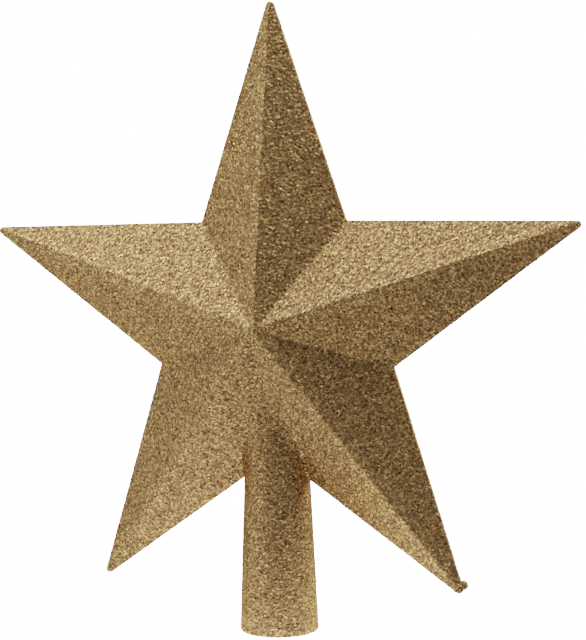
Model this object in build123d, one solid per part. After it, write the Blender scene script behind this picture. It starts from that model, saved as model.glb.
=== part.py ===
from build123d import *
import math
import os

# A five-pointed star for the top of a christmas tree, made as two moulded half shells. Each half has
# its half of the socket tube. The halves are cemented along the plane through the star's outline,
# and a crust of glitter covers the outside.
# Millimetres, Z up. The origin is the centre of the socket's mouth, and the front faces -Y.

# Star
arm_count = 5
star_radius = 98.0  # star's centre to the sharp corner of a point
notch_radius = 38.5  # star's centre to the corner between two arms
half_depth = 19.8  # seam to the peak of one face
edge_land = 0.6  # flat band that each half keeps along the outline
tip_radius = 0.7  # rounding of the points, which runs out along each ridge towards the peak
shell_wall = 1.6

# Socket tube
centre_height = 93.0  # mouth of the tube to the star's centre
mouth_radius = 10.1  # inside the tube at its mouth
tube_wall = 1.5
grip_radius = 7.5  # straight bore that takes the tree's leading shoot
grip_length = 21.0
stop_drop = 10.0  # star's centre down to the closed end of the bore
stop_thickness = 1.6
lead_in = 0.2  # chamfer inside the mouth
rim_chamfer = 0.8  # chamfer outside the mouth

# Tongue and groove along the seam
lip_width = 1.5  # outline to the groove's outer side
tongue_width = 0.9
tongue_height = 1.0
tongue_bend = 2.5  # outside radius of the tongue's turn in each point, where the shell gets low
seam_clearance = 0.1

# Locating pins, one in each arm
pin_place_share = 0.47  # of the star's radius
post_radius = 2.4
pin_radius = 1.5
pin_length = 4.0
pin_chamfer = 0.4
pin_clearance = 0.1
boss_wall = 1.5
post_setback = 0.1  # posts and bosses stop short of the seam, so that the edges meet first

# Glitter crust
coat_thickness = 0.4
coat_setback = 0.5  # bare plastic at the tube's rim

overrun = 1.0  # how far cuts run past the faces that they open

# The star's ten edges are all as far from its centre, so all facets of a half slope alike.
half_sector = math.radians(180 / arm_count)
notch_across = notch_radius * math.sin(half_sector)
notch_along = notch_radius * math.cos(half_sector)
edge_distance = star_radius * notch_across / math.hypot(notch_across, star_radius - notch_along)
slope = math.atan((half_depth - edge_land) / edge_distance)
seam_plane = Plane(origin=(0, 0, centre_height), x_dir=(1, 0, 0), z_dir=(0, -1, 0))

# Moving a facet in by the wall moves it along the star's axis by more, as it is sloped.
cavity_peak = half_depth - shell_wall / math.cos(slope)
cavity_distance = cavity_peak / math.tan(slope)
tongue_distance = edge_distance - lip_width - seam_clearance

socket_end = centre_height - stop_drop
grip_start = socket_end - grip_length


def star_outline(distance, rounding=0):
    """Star with its edges at a distance from its centre, and its points rounded."""
    scale = distance / edge_distance
    corners = []
    for step in range(2 * arm_count):
        radius = scale * (notch_radius if step % 2 else star_radius)
        angle = math.pi / 2 + step * half_sector
        corners.append((radius * math.cos(angle), radius * math.sin(angle)))
    outline = make_face(Polyline(*corners, close=True))
    if rounding:
        points = outline.vertices().sort_by_distance((0, 0, 0))[-arm_count:]
        outline = fillet(points, rounding)
    return seam_plane * outline


def half_star(distance, land, peak, rounding=0):
    """Front half of a star: the band along its outline, and the facets that rise from it to the peak."""
    outline = star_outline(distance, rounding)
    facets = loft([(Pos(0, -land, 0) * outline).face(), Vertex(0, -peak, centre_height)], ruled=True)
    return extrude(outline, land) + facets if land else facets


def tube_outline(grow=0):
    """Half section of the tube as a filled form, grown outwards: the taper, then the sleeve in the star."""
    top = socket_end + stop_thickness + grow
    sleeve = grip_radius + tube_wall + grow
    rim = mouth_radius + tube_wall + grow
    corners = [(0, -grow), (rim, -grow), (sleeve, grip_start), (sleeve, top), (0, top)]
    outline = make_face(Polyline(*corners, close=True))
    outline = chamfer(outline.vertices().sort_by(Axis.X)[-1:], rim_chamfer + grow * (2 - math.sqrt(2)))
    return Plane.XZ * outline


def front_tube(grow=0):
    """Front half of the tube as a filled form."""
    return Rot(0, 0, 180) * revolve(tube_outline(grow), Axis.Z, 180)


def socket_bore():
    """The hollow of the tube: a chamfered mouth, the taper and the straight bore up to its closed end."""
    chamfer_end = mouth_radius - (mouth_radius - grip_radius) * lead_in / grip_start
    flare = mouth_radius + lead_in + overrun
    corners = [
        (0, -overrun),
        (flare, -overrun),
        (chamfer_end, lead_in),
        (grip_radius, grip_start),
        (grip_radius, socket_end),
        (0, socket_end),
    ]
    return revolve(Plane.XZ * make_face(Polyline(*corners, close=True)), Axis.Z)


def seam_band(slack=0):
    """Strip of the seam plane that follows the outline: the tongue, or with slack its groove."""
    inward = tongue_width + slack
    outside = star_outline(tongue_distance + slack, tongue_bend + slack)
    return outside - star_outline(tongue_distance - inward, tongue_bend - inward)


def on_arms(shape):
    """A copy of a shape, drawn along the seam plane's normal, in each of the arms."""
    spots = PolarLocations(pin_place_share * star_radius, arm_count, 90)
    return [seam_plane.location * spot * shape for spot in spots]


def column(radius, start, end):
    """Round column between two distances in front of the seam plane."""
    return Pos(0, 0, start) * Cylinder(radius, end - start, align=(Align.CENTER, Align.CENTER, Align.MIN))


solid_star = half_star(edge_distance, edge_land, half_depth, tip_radius)
solid_half = solid_star + front_tube()
plain_half = solid_star - half_star(cavity_distance, 0, cavity_peak) + front_tube() - socket_bore()

# Front shell: the tongue stands on a low rib along the wall, and a pin stands on a post in each arm.
tongue_rib = extrude(seam_band(), half_depth) & solid_star
tongue = extrude(seam_band(), -tongue_height) - revolve(tube_outline(seam_clearance), Axis.Z)
posts = [post & solid_star for post in on_arms(column(post_radius, post_setback, half_depth))]
pin = column(pin_radius, -pin_length, post_setback + overrun)
pin = chamfer(pin.edges().group_by(Axis.Z)[0], pin_chamfer)
front_shell = plain_half + (tongue_rib - socket_bore()) + tongue + posts + on_arms(pin)

# Back shell, drawn facing the front and then mirrored: the groove, and a boss for each pin.
groove = extrude(seam_band(seam_clearance), tongue_height + seam_clearance) - front_tube()
boss_radius = pin_radius + pin_clearance + boss_wall
bosses = [boss & solid_star for boss in on_arms(column(boss_radius, post_setback, half_depth))]
pin_holes = on_arms(column(pin_radius + pin_clearance, -overrun, pin_length + pin_clearance))
back_shell = mirror(plain_half - groove + bosses - pin_holes, about=Plane.XZ)

# Glitter crust on each half: a skin between the moulded form and the same form moved outwards.
coat_land = edge_land + coat_thickness * (1 - math.sin(slope)) / math.cos(slope)
coat_peak = half_depth + coat_thickness / math.cos(slope)
coated_star = half_star(edge_distance + coat_thickness, coat_land, coat_peak, tip_radius + coat_thickness)
bare_rim = Pos(0, 0, coat_setback) * Cylinder(
    mouth_radius + tube_wall + coat_thickness + overrun,
    coat_setback + coat_thickness + overrun,
    align=(Align.CENTER, Align.CENTER, Align.MAX),
)
front_coat = coated_star + front_tube(coat_thickness) - solid_half - bare_rim
back_coat = mirror(front_coat, about=Plane.XZ)

os.makedirs("parts", exist_ok=True)
nodes = {
    "front_shell": front_shell,
    "back_shell": back_shell,
    "front_glitter_coat": front_coat,
    "back_glitter_coat": back_coat,
}
for name, shape in nodes.items():
    export_step(shape, f"parts/{name}.step")
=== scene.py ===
import math

import bmesh
import bpy
import numpy as np
from mathutils import Matrix, Vector
from mathutils.geometry import delaunay_2d_cdt


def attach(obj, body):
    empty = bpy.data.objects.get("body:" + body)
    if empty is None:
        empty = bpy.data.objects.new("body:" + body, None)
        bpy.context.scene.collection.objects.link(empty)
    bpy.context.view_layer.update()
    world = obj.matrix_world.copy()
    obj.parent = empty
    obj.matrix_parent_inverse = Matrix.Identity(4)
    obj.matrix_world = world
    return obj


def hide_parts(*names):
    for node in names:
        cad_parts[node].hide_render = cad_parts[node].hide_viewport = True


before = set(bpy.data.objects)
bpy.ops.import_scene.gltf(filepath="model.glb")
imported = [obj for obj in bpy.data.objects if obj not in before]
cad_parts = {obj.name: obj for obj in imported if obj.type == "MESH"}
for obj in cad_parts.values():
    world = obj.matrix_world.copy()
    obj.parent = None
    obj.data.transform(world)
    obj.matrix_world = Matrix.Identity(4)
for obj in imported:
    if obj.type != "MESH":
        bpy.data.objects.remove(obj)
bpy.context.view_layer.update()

# A five-pointed star for the top of a christmas tree. Two moulded halves, which show only inside the
# socket and on its rim, carry a crust of gold glitter. The crust is built flake by flake: the star and
# the tube are covered with small triangles, each tilted its own way.
# Sizes are in millimetres in this file, and in metres in the meshes.

MM = 0.001

# Moulded star under the crust
arm_count = 5
star_radius = 98.0  # star's centre to the sharp corner of a point
notch_radius = 38.5  # star's centre to the corner between two arms
half_depth = 19.8  # seam to the peak of one face
edge_land = 0.6  # flat band along the outline, on each side of the seam
tip_radius = 0.7  # rounding of the points
centre_height = 93.0  # mouth of the tube to the star's centre

# Moulded tube under the crust
mouth_radius = 11.6  # outside the tube at its mouth
sleeve_radius = 9.0  # outside the tube where its taper ends
sleeve_start = 62.0  # mouth of the tube to the end of its taper
rim_chamfer = 0.8  # chamfer outside the mouth

# Glitter crust
crust_thickness = 0.4
flake_spacing = 0.62  # between the corners of the flakes
flake_shift_share = 0.22  # of the spacing, by which a flake's corner strays along the surface
flake_lift = 0.08  # by which a flake's corner strays in or out
ridge_round = 1.5  # radius over the ridges, which the adhesive softens
valley_round = 1.8  # radius in the valleys, where it gathers
join_blend = 4.5  # depth over which the star and the tube run into each other
ridge_highlight_gain = 0.08  # by which the flakes' tone rises at the ridges: a painted highlight where they catch the light
ridge_highlight_reach = 2.0  # on both sides of a ridge, over which the painted highlight fades
bare_rim = 0.1  # plastic left bare under the crust at the mouth
tube_end = 76.0  # mouth to the end of the crust's tube, inside the star
flake_seed = 24  # start of the random draws

# Lumps of glitter and adhesive at the tip of the lower right arm
lump_arm = 3  # arms from the top one, counterclockwise
lumps = (  # along the arm from the star's centre, across the arm, in front of the seam, and the radius
    (95.1, 0.0, 0.3, 1.6),
    (95.4, 1.9, 0.3, 1.4),
)

# Meshes
core_spacing = 6.0  # between the corners of the triangles on the crust's hidden inner side
tube_core_spacing = 1.5  # the same in the tube
plan_tolerance_share = 0.001  # of the spacing, within which points of a facet's plan count as one
merge_grid = 1e-4  # points that round to one place on this grid become one
overrun = 4.0  # by which cuts run past the ends that they open
map_size = 196.0  # side of the square that the bake map shows
map_margin_share = 0.01  # of the map, left under the tube
map_inner_share = 0.05  # scale of the hidden inner side on the map

# Moulded plastic
mould_grain = 0.8  # coarser than a real mould's, so that it shows
mould_grain_height = 0.05

# Studio
floor_reach = 20000.0  # middle of the floor to its sides
floor_glows = (  # right of the tube, behind it, how far the light reaches, and its strength in the middle
    (0.0, 0.0, 100.0, 1.9),
    (-200.0, -100.0, 200.0, 1.25),
)
soft_lights = (  # name, degrees from the front to the right, degrees above the floor, and strength
    ("left", -90, 60, 2.95),
    ("right", 90, 60, 2.6),
    ("left_front", -60, 20, 0.7),
    ("back_right", 135, 10, 1.85),
)
light_spread = 50.0  # degrees of sky that each soft light fills
camera_white = 16.0  # strength that the camera shows as white

# Camera
camera_azimuth = 19.19  # degrees from the front to the right
camera_elevation = 4.15  # degrees above the level of the star's centre
camera_roll = -0.88  # degrees about the line of sight
camera_distance = 507.3  # from the star's centre
image_height = 640  # pixels
focal_pixels = 1677.4  # focal length in pixels of the image
shift_pixels = (17.94, 5.66)  # of the lens, to the right and up
sensor_height = 36.0  # height of the image on the sensor
near_limit = 10.0  # closest distance that the camera shows

half_sector = math.pi / arm_count
chance = np.random.default_rng(flake_seed)


def grown_star(grow):
    """The star with all its faces moved outwards: its edges' distance from its centre, and its sizes.

    An edge is the line from a point to a notch. The outline scales with the edges' distance, and the
    land and the peak follow from the facets' slope, which stays.
    """
    across = notch_radius * math.sin(half_sector)
    along = notch_radius * math.cos(half_sector)
    edge = star_radius * across / math.hypot(across, star_radius - along)
    slope = math.atan((half_depth - edge_land) / edge)
    scale = (edge + grow) / edge
    return {
        "edge": edge + grow,
        "radius": star_radius * scale,
        "notch": notch_radius * scale,
        "land": edge_land + grow * (1 - math.sin(slope)) / math.cos(slope),
        "peak": half_depth + grow / math.cos(slope),
        "tip": tip_radius + grow,
    }


def facet_plan(star, spacing, stray):
    """One facet seen from the front, as points (along the ridge, across it) and triangles.

    Staggered rows of points fill the triangle from the peak to a point and a notch. Evenly spaced
    points stand on its three sides, so that the facets beside it share them.
    """
    corners = np.array([
        (0, 0),
        (star["radius"], 0),
        (star["notch"] * math.cos(half_sector), star["notch"] * math.sin(half_sector)),
    ])
    ends = np.roll(corners, -1, axis=0)
    sides = []
    for start, end in zip(corners, ends):
        count = max(1, round(np.linalg.norm(end - start) / spacing))
        sides.append(start + (end - start) * (np.arange(count) / count)[:, None])
    border = np.concatenate(sides)

    row_height = spacing * math.sqrt(3) / 2
    rows, columns = np.meshgrid(
        np.arange(corners[2, 1] / row_height), np.arange(corners[1, 0] / spacing), indexing="ij"
    )
    inside = np.stack([(columns + rows % 2 / 2) * spacing, rows * row_height], axis=-1).reshape(-1, 2)
    way = (ends - corners) / np.linalg.norm(ends - corners, axis=1)[:, None]
    offset = inside[:, None] - corners
    depth = way[:, 0] * offset[..., 1] - way[:, 1] * offset[..., 0]
    inside = inside[depth.min(axis=1) > spacing / 2]
    inside = inside + chance.uniform(-stray, stray, inside.shape)

    points = np.concatenate([border, inside])
    inside_border = 1
    tolerance = plan_tolerance_share * spacing
    _, _, triangles, sources, _, _ = delaunay_2d_cdt(
        points.tolist(), [], [list(range(len(border)))], inside_border, tolerance
    )
    return points[np.array(sources)[:, 0]], np.array(triangles)


def facet_depth(star, along, across, rounded):
    """How far in front of the seam a facet is: it falls evenly from the peak to the land at the outline.

    If rounded, an arc that touches both facets takes the place of the sharp corner over the ridge
    and in the valley.
    """
    point_angle = math.asin(star["edge"] / star["radius"])
    notch_angle = math.asin(star["edge"] / star["notch"])
    fall = (star["peak"] - star["land"]) / star["edge"]
    from_centre = along * math.sin(point_angle) + across * math.cos(point_angle)
    depth = star["peak"] - fall * from_centre
    if rounded:
        from_valley = along * math.sin(half_sector) - across * math.cos(half_sector)
        depth -= corner_arc(across, fall * math.cos(point_angle), ridge_round)
        depth += corner_arc(from_valley, fall * math.cos(notch_angle), valley_round)
    return depth


def corner_arc(distance, fall, radius):
    """Height between a sharp corner and an arc of a radius that touches both its sides.

    The sides fall away from the corner by fall per unit, and the distance is measured from the corner.
    """
    lean = math.atan(fall)
    near = np.minimum(np.abs(distance), radius * math.sin(lean))
    return radius / math.cos(lean) - np.sqrt(radius**2 - near**2) - fall * near


def arm_frame(x, height):
    """The place of points in the frame of the arm next to them: along its ridge, and across it.

    Their angle about the star's centre, counted from the top, is taken back by whole arms.
    """
    reach = np.hypot(x, height - centre_height)
    turn = np.arctan2(x, height - centre_height)
    turn = turn - 2 * half_sector * np.round(turn / (2 * half_sector))
    return reach * np.cos(turn), reach * np.abs(np.sin(turn))


def join_fill(difference):
    """Depth of adhesive in the corner between the star and the tube, by the depth of one over the other.

    It is the parabola that makes the higher of the two surfaces smooth, and it ends at join_blend.
    """
    return np.maximum(join_blend - np.abs(difference), 0) ** 2 / (4 * join_blend)


def rounded_point(star, along, across):
    """Draws a sharp point in to its round end: each ray from the arc's centre is shortened to the arc."""
    point_angle = math.asin(star["edge"] / star["radius"])
    centre = star["radius"] - star["tip"] / math.sin(point_angle)
    ray = np.hypot(along - centre, across)
    turn = np.arctan2(across, along - centre)
    share = np.cos(np.maximum(math.pi / 2 - point_angle - turn, 0))
    return centre + ray * share * np.cos(turn), ray * share * np.sin(turn)


def grid_triangles(rows, columns):
    """Two triangles for each cell of a grid of points that is stored row by row."""
    index = np.arange(rows * columns).reshape(rows, columns)
    here, beside = index[:-1, :-1], index[:-1, 1:]
    above, opposite = index[1:, :-1], index[1:, 1:]
    first = np.stack([here, beside, opposite], axis=-1)
    second = np.stack([here, opposite, above], axis=-1)
    return np.stack([first, second], axis=-2).reshape(-1, 3)


def repeated(triangles, point_count, times):
    """The same triangles for each of several copies of their points."""
    return (triangles + point_count * np.arange(times)[:, None, None]).reshape(-1, 3)


def star_surface(star, spacing, stray=0.0, rounded=False):
    """The whole star: one facet, mirrored and turned to all arms and both faces, and the band between.

    The band's rows go straight from the front outline to the back one. If rounded, the ridges and
    valleys are soft, and the facets rise to the tube in the corner beside it.
    """
    plan, triangles = facet_plan(star, spacing, stray)
    depth = facet_depth(star, *plan.T, rounded)
    point_angle = math.asin(star["edge"] / star["radius"])
    from_centre = plan @ (math.sin(point_angle), math.cos(point_angle))
    outline = np.flatnonzero(np.isclose(from_centre, star["edge"]))
    outline = outline[np.argsort(plan[outline, 0])]
    along, across = rounded_point(star, *plan.T)

    arm = (math.pi / 2 + 2 * half_sector * np.arange(arm_count))[:, None, None, None]
    side = np.array([1, -1])[:, None, None]
    face = np.array([-1, 1])[:, None]
    facets = np.stack(np.broadcast_arrays(
        along * np.cos(arm) - side * across * np.sin(arm),
        face * depth,
        centre_height + along * np.sin(arm) + side * across * np.cos(arm),
    ), axis=-1)
    if rounded:
        # Beside the tube, its depth counts as below the seam, more so with the distance from it.
        x, height = facets[..., 0], facets[..., 2]
        radius = tube_radius(height, crust_thickness)
        tube_depth = np.sign(radius - np.abs(x)) * np.sqrt(np.abs(radius**2 - x**2))
        facets[..., 1] += face * join_fill(tube_depth - depth) * (height < centre_height)

    steps = max(1, round(2 * star["land"] / spacing))
    mix = np.linspace(0, 1, steps + 1)[:, None, None]
    front, back = facets[:, :, 0, outline], facets[:, :, 1, outline]
    band = front[:, :, None] * (1 - mix) + back[:, :, None] * mix

    facet_triangles = repeated(triangles, len(plan), 4 * arm_count)
    strip_size = (steps + 1) * len(outline)
    band_triangles = repeated(grid_triangles(steps + 1, len(outline)), strip_size, 2 * arm_count)
    facets, band = facets.reshape(-1, 3), band.reshape(-1, 3)
    return np.concatenate([facets, band]), np.concatenate([facet_triangles, band_triangles + len(facets)])


def tube_radius(height, grow):
    """Outside of the tube, which tapers evenly up to the sleeve.

    The moulded tube has a chamfer at its mouth. Grown outwards to the crust, it has a round edge there.
    """
    taper = (mouth_radius - sleeve_radius) / sleeve_start
    below = np.clip(rim_chamfer - height, 0, rim_chamfer)
    edge = np.sqrt((rim_chamfer + grow)**2 - below**2) - rim_chamfer if grow else -below
    return np.maximum(mouth_radius - taper * height, sleeve_radius) + edge


def tube_surface(grow, low, high, spacing, stray=0.0):
    """A closed tube: rings up its taper, every other one turned by half a step, and two ends.

    Grown outwards to the crust, it also widens towards the star in the corner beside it.
    """
    count = round(2 * math.pi * (sleeve_radius + grow) / spacing)
    heights = np.linspace(low, high, round((high - low) / spacing * 2 / math.sqrt(3)) + 1)
    ring = np.arange(len(heights))[:, None]
    angle = (np.arange(count) + ring % 2 / 2) * 2 * math.pi / count
    angle = angle + chance.uniform(-stray, stray, angle.shape) / sleeve_radius
    height = np.broadcast_to(heights[:, None], angle.shape)
    radius = tube_radius(height, grow)
    if grow:
        forward = np.abs(np.sin(angle))
        star_depth = facet_depth(grown_star(grow), *arm_frame(radius * np.cos(angle), height), True)
        radius = radius + join_fill(radius * forward - star_depth) * forward
    wall = np.stack([radius * np.cos(angle), radius * np.sin(angle), height], axis=-1).reshape(-1, 3)
    points = np.concatenate([wall, [(0, 0, low), (0, 0, high)]])

    here = ring[:-1] * count + np.arange(count)
    after = ring[:-1] * count + (np.arange(count) + 1) % count
    lead = ring[:-1] % 2 == 1
    above_here, above_after = here + count, after + count
    lower = np.stack([here, after, np.where(lead, above_after, above_here)], axis=-1)
    upper = np.stack([np.where(lead, here, after), above_after, above_here], axis=-1)
    foot = np.stack([after[0], here[0], np.full(count, len(wall))], axis=-1)
    head = np.stack([above_here[-1], above_after[-1], np.full(count, len(wall) + 1)], axis=-1)
    return points, np.concatenate([lower.reshape(-1, 3), upper.reshape(-1, 3), foot, head])


def lump_surface(lump, spacing):
    """A ball: rings of points from pole to pole. It sits at the tip of its arm."""
    along, across, front, radius = lump
    rings = round(math.pi * radius / spacing) + 1
    rise = np.linspace(-math.pi / 2, math.pi / 2, rings)[:, None]
    turn = np.linspace(0, 2 * math.pi, 2 * rings)
    ball = np.stack(np.broadcast_arrays(
        np.cos(rise) * np.cos(turn), np.cos(rise) * np.sin(turn), np.sin(rise)
    ), axis=-1).reshape(-1, 3)
    arm = math.pi / 2 + 2 * half_sector * lump_arm
    centre = np.array([
        along * math.cos(arm) - across * math.sin(arm),
        -front,
        centre_height + along * math.sin(arm) + across * math.cos(arm),
    ])
    return centre + radius * ball, grid_triangles(rings, 2 * rings)


def solid(name, points, triangles, flakes=False):
    """A closed mesh of points in millimetres: those in one place become one, and the faces look outwards.

    Triangles that have two corners in one place are left out. Each face that is a flake gets a tone of its
    own from 0 to 1, and each other face the tone -1.
    """
    _, first, place = np.unique(
        np.round(points / merge_grid).astype(np.int64), axis=0, return_index=True, return_inverse=True
    )
    triangles = place.reshape(-1)[triangles]
    whole = (triangles != np.roll(triangles, 1, axis=1)).all(axis=1)
    mesh = bpy.data.meshes.new(name)
    mesh.from_pydata(points[first] * MM, [], triangles[whole])
    shape = bmesh.new()
    shape.from_mesh(mesh)
    bmesh.ops.recalc_face_normals(shape, faces=shape.faces)
    shape.to_mesh(mesh)
    shape.free()
    tone = chance.random(len(mesh.polygons)) if flakes else np.full(len(mesh.polygons), -1)
    mesh.attributes.new("flake_tone", "FLOAT", "FACE").data.foreach_set("value", tone.astype(np.float32))
    piece = bpy.data.objects.new(name, mesh)
    bpy.context.scene.collection.objects.link(piece)
    return piece


def read(items, name, size=1, kind=np.float32):
    """One property of all items of a mesh, as an array: a row for each item if the property is a vector."""
    values = np.empty(size * len(items), kind)
    items.foreach_get(name, values)
    return values.reshape(-1, size) if size > 1 else values


def lift_flakes(piece):
    """Moves each corner along its normal by its own amount, so that each flake has its own tilt."""
    mesh = piece.data
    lift = chance.uniform(-flake_lift, flake_lift, len(mesh.vertices)) * MM
    places = read(mesh.vertices, "co", 3) + read(mesh.vertex_normals, "vector", 3) * lift[:, None]
    mesh.vertices.foreach_set("co", places.astype(np.float32).ravel())
    mesh.update()


def paint_ridge_highlights(piece):
    """Raises the tone of the flakes beside the ridges: a painted highlight, where the ridges catch the
    light.
    """
    mesh = piece.data
    x, height = read(mesh.polygons, "center", 3)[:, [0, 2]].T / MM
    tones = mesh.attributes["flake_tone"].data
    across = arm_frame(x, height)[1]
    tone = read(tones, "value") + ridge_highlight_gain * np.exp(-((across / ridge_highlight_reach) ** 2))
    tones.foreach_set("value", np.minimum(tone, 1).astype(np.float32))


def combine(piece, other, operation):
    """Joins another closed mesh to a piece, or cuts it away, and leaves the result in the piece."""
    change = piece.modifiers.new("combine", "BOOLEAN")
    change.object = other
    change.operation = operation
    change.solver = "MANIFOLD"
    graph = bpy.context.evaluated_depsgraph_get()
    made = bpy.data.meshes.new_from_object(piece.evaluated_get(graph))
    old = piece.data
    piece.modifiers.clear()
    piece.data = made
    bpy.data.meshes.remove(old)


def half_space(side):
    """A block that holds everything in front of the seam, or behind it."""
    reach = 2 * star_radius
    signs = np.meshgrid([-1, 1], [0, side], [-1, 1], indexing="ij")
    corners = np.stack(signs, axis=-1).reshape(-1, 3) * reach + (0, 0, centre_height)
    quads = np.array([(0, 1, 3, 2), (4, 6, 7, 5), (0, 4, 5, 1), (2, 3, 7, 6), (0, 2, 6, 4), (1, 5, 7, 3)])
    return solid("block", corners, np.concatenate([quads[:, [0, 1, 2]], quads[:, [0, 2, 3]]]))


def glitter_crust():
    """The crust as two closed skins, in front of the seam and behind it."""
    stray = flake_shift_share * flake_spacing
    coated_star = star_surface(grown_star(crust_thickness), flake_spacing, stray, rounded=True)
    crust = solid("crust", *coated_star, flakes=True)
    coated_tube = tube_surface(crust_thickness, bare_rim, tube_end, flake_spacing, stray)
    added = [solid("tube", *coated_tube, flakes=True)]
    added += [solid("lump", *lump_surface(lump, flake_spacing), flakes=True) for lump in lumps]
    for grown in [crust] + added:
        lift_flakes(grown)
    # painted highlight along the ridges, put into the flakes' tone
    paint_ridge_highlights(crust)
    for grown in added:
        combine(crust, grown, "UNION")

    star_core = solid("star_core", *star_surface(grown_star(0), core_spacing))
    tube_core = solid("tube_core", *tube_surface(0, -overrun, tube_end + overrun, tube_core_spacing))
    combine(crust, star_core, "DIFFERENCE")
    combine(crust, tube_core, "DIFFERENCE")

    halves = []
    for name, side in (("front_glitter_crust", -1), ("back_glitter_crust", 1)):
        half = bpy.data.objects.new(name, crust.data.copy())
        bpy.context.scene.collection.objects.link(half)
        block = half_space(side)
        combine(half, block, "INTERSECT")
        bpy.data.objects.remove(block)
        halves.append(half)
    for used in (crust, *added, star_core, tube_core):
        bpy.data.objects.remove(used)
    return halves


def bake_map(piece):
    """Lays the piece flat as it is seen from the front, with its hidden inner side small in a corner."""
    mesh = piece.data
    corners = read(mesh.loops, "vertex_index", kind=np.int32)
    flat = read(mesh.vertices, "co", 3)[corners][:, [0, 2]] / (map_size * MM) + (1 / 2, map_margin_share)
    hidden = read(mesh.attributes["flake_tone"].data, "value") < 0
    inner = np.repeat(hidden, read(mesh.polygons, "loop_total", kind=np.int32))
    flat[inner] = flat[inner] * map_inner_share
    mesh.uv_layers.new(name="OFBake").data.foreach_set("uv", flat.astype(np.float32).ravel())


def linear(code):
    """The linear colour of an sRGB hex value, by the standard's curve: straight near black, then a power.

    It has no transparency.
    """
    parts = np.array([int(code[place:place + 2], 16) for place in (1, 3, 5)]) / 255
    return (*np.where(parts <= 0.04045, parts / 12.92, ((parts + 0.055) / 1.055) ** 2.4), 1.0)


def add(tree, kind, values=None, links=None, stops=None, **settings):
    """Adds a node with its settings, the values and links of its inputs, and the colour stops of a ramp."""
    made = tree.nodes.new("ShaderNode" + kind)
    for name, value in settings.items():
        setattr(made, name, value)
    for name, value in (values or {}).items():
        made.inputs[name].default_value = value
    for name, source in (links or {}).items():
        tree.links.new(source, made.inputs[name])
    if stops:
        ramp = made.color_ramp.elements
        ramp.remove(ramp[0])
        ramp[0].position, ramp[0].color = stops[0][0], linear(stops[0][1])
        for place, code in stops[1:]:
            ramp.new(place).color = linear(code)
    return made


def new_material(name):
    """An empty material and its tree."""
    made = bpy.data.materials.new(name)
    made.use_nodes = True
    made.node_tree.nodes.clear()
    return made, made.node_tree


def glitter_film():
    """Metallised polyester film, cut into flakes and stuck on with clear adhesive.

    Each flake is a small mirror of gold lacquer, so it is light or dark by its tilt, and gold at a flat
    angle too. Each flake has a random tone: the brown end stands for painted shade in the gaps between
    flakes, the cream end for painted glints, and the golds between are the flakes' own spread of colour.
    """
    made, tree = new_material("metallised_film_glitter")
    flake = add(tree, "Attribute", attribute_name="flake_tone")
    # random tone per flake: brown is painted shade in the gaps, cream is painted glints, gold between is
    # the film's own colour
    colour = add(tree, "ValToRGB", links={0: flake.outputs["Fac"]}, stops=[
        (0.0, "#43301D"),
        (0.15, "#795B3E"),
        (0.6, "#A58358"),
        (0.86, "#CEA069"),
        (1.0, "#FFD790"),
    ])
    sheen = add(tree, "MapRange", values={"To Min": 0.55, "To Max": 0.45}, links={
        "Value": flake.outputs["Fac"],
    })
    shader = add(tree, "BsdfPrincipled", values={
        "Metallic": 0.85, "Specular Tint": linear("#FFD9A0"),
    }, links={
        "Base Color": colour.outputs["Color"], "Roughness": sheen.outputs["Result"],
    })
    add(tree, "OutputMaterial", links={"Surface": shader.outputs["BSDF"]})
    return made


def gold_polystyrene():
    """Polystyrene tinted gold and moulded, as it is left inside the socket and on its rim.

    The mould leaves it half glossy, with a faint grain.
    """
    made, tree = new_material("gold_tinted_polystyrene")
    place = add(tree, "TexCoord")
    grain = add(tree, "TexNoise", values={"Scale": 1 / (mould_grain * MM), "Detail": 3}, links={
        "Vector": place.outputs["Object"],
    })
    colour = add(tree, "ValToRGB", links={0: grain.outputs["Fac"]}, stops=[
        (0.3, "#9C7A3E"),
        (0.7, "#B8954F"),
    ])
    bump = add(tree, "Bump", values={"Strength": 0.25, "Distance": mould_grain_height * MM}, links={
        "Height": grain.outputs["Fac"],
    })
    shader = add(tree, "BsdfPrincipled", values={"Roughness": 0.38, "IOR": 1.59}, links={
        "Base Color": colour.outputs["Color"], "Normal": bump.outputs["Normal"],
    })
    add(tree, "OutputMaterial", links={"Surface": shader.outputs["BSDF"]})
    return made


def grey_board():
    """Matt grey board, lit from below around the tube and at its front left.

    The camera sees it as the same white as the background, and sees through it from below.
    """
    made, tree = new_material("matt_grey_board")
    place = add(tree, "TexCoord")
    glows = []
    for right, behind, reach, strength in floor_glows:
        away = add(tree, "VectorMath", values={1: (right * MM, behind * MM, 0)}, links={
            0: place.outputs["Object"],
        }, operation="DISTANCE")
        glow = add(tree, "MapRange", values={
            "From Max": reach * MM, "To Min": strength, "To Max": 0,
        }, links={"Value": away.outputs["Value"]}, interpolation_type="SMOOTHSTEP")
        glows.append(glow.outputs["Result"])
    shine = add(tree, "Math", links=dict(enumerate(glows)), operation="ADD")
    board = add(tree, "BsdfPrincipled", values={
        "Base Color": linear("#868584"),
        "Roughness": 0.9,
        "Specular IOR Level": 0,
        "Emission Color": linear("#FFFFFF"),
    }, links={"Emission Strength": shine.outputs["Value"]})
    white = add(tree, "Emission", values={"Color": linear("#FFFFFF"), "Strength": camera_white})
    path = add(tree, "LightPath")
    above = add(tree, "MixShader", links={
        0: path.outputs["Is Camera Ray"], 1: board.outputs["BSDF"], 2: white.outputs["Emission"],
    })
    clear = add(tree, "BsdfTransparent")
    side = add(tree, "NewGeometry")
    both = add(tree, "MixShader", links={
        0: side.outputs["Backfacing"], 1: above.outputs["Shader"], 2: clear.outputs["BSDF"],
    })
    add(tree, "OutputMaterial", links={"Surface": both.outputs["Shader"]})
    return made


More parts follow.
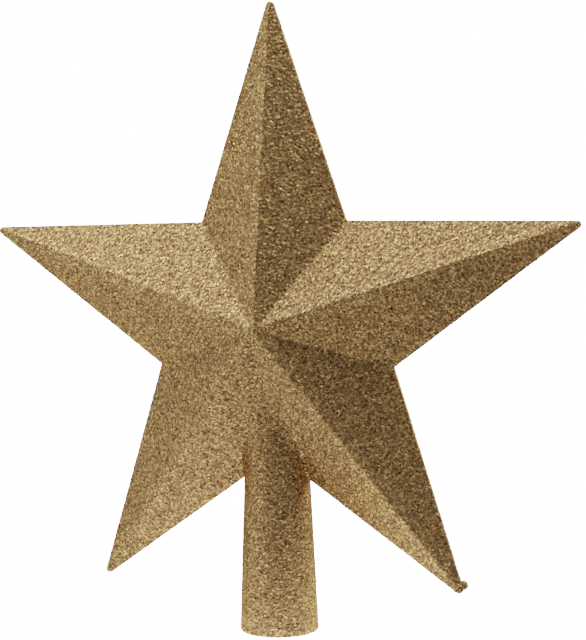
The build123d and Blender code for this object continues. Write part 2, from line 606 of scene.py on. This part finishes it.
def studio_floor():
    """A wide level square that the tube's mouth stands on."""
    mesh = bpy.data.meshes.new("floor")
    corners = np.array([(-1, -1, 0), (1, -1, 0), (1, 1, 0), (-1, 1, 0)])
    mesh.from_pydata(corners * floor_reach * MM, [], [(0, 1, 2, 3)])
    mesh.materials.append(grey_board())
    floor = bpy.data.objects.new("floor", mesh)
    bpy.context.scene.collection.objects.link(floor)


def direction(azimuth, elevation):
    """The way to a place in the sky, by degrees from the front to the right and degrees above the floor."""
    turn, rise = math.radians(azimuth), math.radians(elevation)
    return Vector((math.sin(turn) * math.cos(rise), -math.cos(turn) * math.cos(rise), math.sin(rise)))


def soft_light(name, azimuth, elevation, strength):
    """A far light, soft because it fills a wide part of the sky."""
    data = bpy.data.lights.new(name, "SUN")
    data.energy = strength
    data.angle = math.radians(light_spread)
    lamp = bpy.data.objects.new(name, data)
    lamp.rotation_euler = direction(azimuth, elevation).to_track_quat("Z", "Y").to_euler()
    bpy.context.scene.collection.objects.link(lamp)


def studio_world():
    """A white background that lights nothing."""
    world = bpy.data.worlds.new("studio")
    world.use_nodes = True
    tree = world.node_tree
    tree.nodes.clear()
    path = add(tree, "LightPath")
    strength = add(tree, "MapRange", values={"To Max": camera_white}, links={
        "Value": path.outputs["Is Camera Ray"],
    })
    sky = add(tree, "Background", values={"Color": linear("#FFFFFF")}, links={
        "Strength": strength.outputs["Result"],
    })
    add(tree, "OutputWorld", links={"Surface": sky.outputs["Background"]})
    bpy.context.scene.world = world


def photo_camera():
    """A long lens a little to the right of the star and above its centre, rolled by less than a degree."""
    back = direction(camera_azimuth, camera_elevation)
    turn, roll = math.radians(camera_azimuth), math.radians(camera_roll)
    level = Vector((math.cos(turn), math.sin(turn), 0))
    upright = back.cross(level)
    right = level * math.cos(roll) + upright * math.sin(roll)
    up = upright * math.cos(roll) - level * math.sin(roll)
    data = bpy.data.cameras.new("camera")
    data.sensor_fit = "VERTICAL"
    data.sensor_height = sensor_height
    data.lens = sensor_height * focal_pixels / image_height
    data.shift_x, data.shift_y = (pixels / image_height for pixels in shift_pixels)
    data.clip_start = near_limit * MM
    camera = bpy.data.objects.new("camera", data)
    place = (Vector((0, 0, centre_height)) + back * camera_distance) * MM
    camera.matrix_world = Matrix.Translation(place) @ Matrix((right, up, back)).transposed().to_4x4()
    bpy.context.scene.collection.objects.link(camera)
    bpy.context.scene.camera = camera


glitter = glitter_film()
for piece, node in zip(glitter_crust(), ("front_glitter_coat", "back_glitter_coat")):
    bake_map(piece)
    piece.data.materials.clear()
    piece.data.materials.append(glitter)
    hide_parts(node)
    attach(piece, "root")

polystyrene = gold_polystyrene()
for node in ("front_shell", "back_shell"):
    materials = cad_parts[node].data.materials
    materials.clear()
    materials.append(polystyrene)

studio_floor()
for light in soft_lights:
    soft_light(*light)
studio_world()
photo_camera()
bpy.context.scene.view_settings.view_transform = "Filmic"
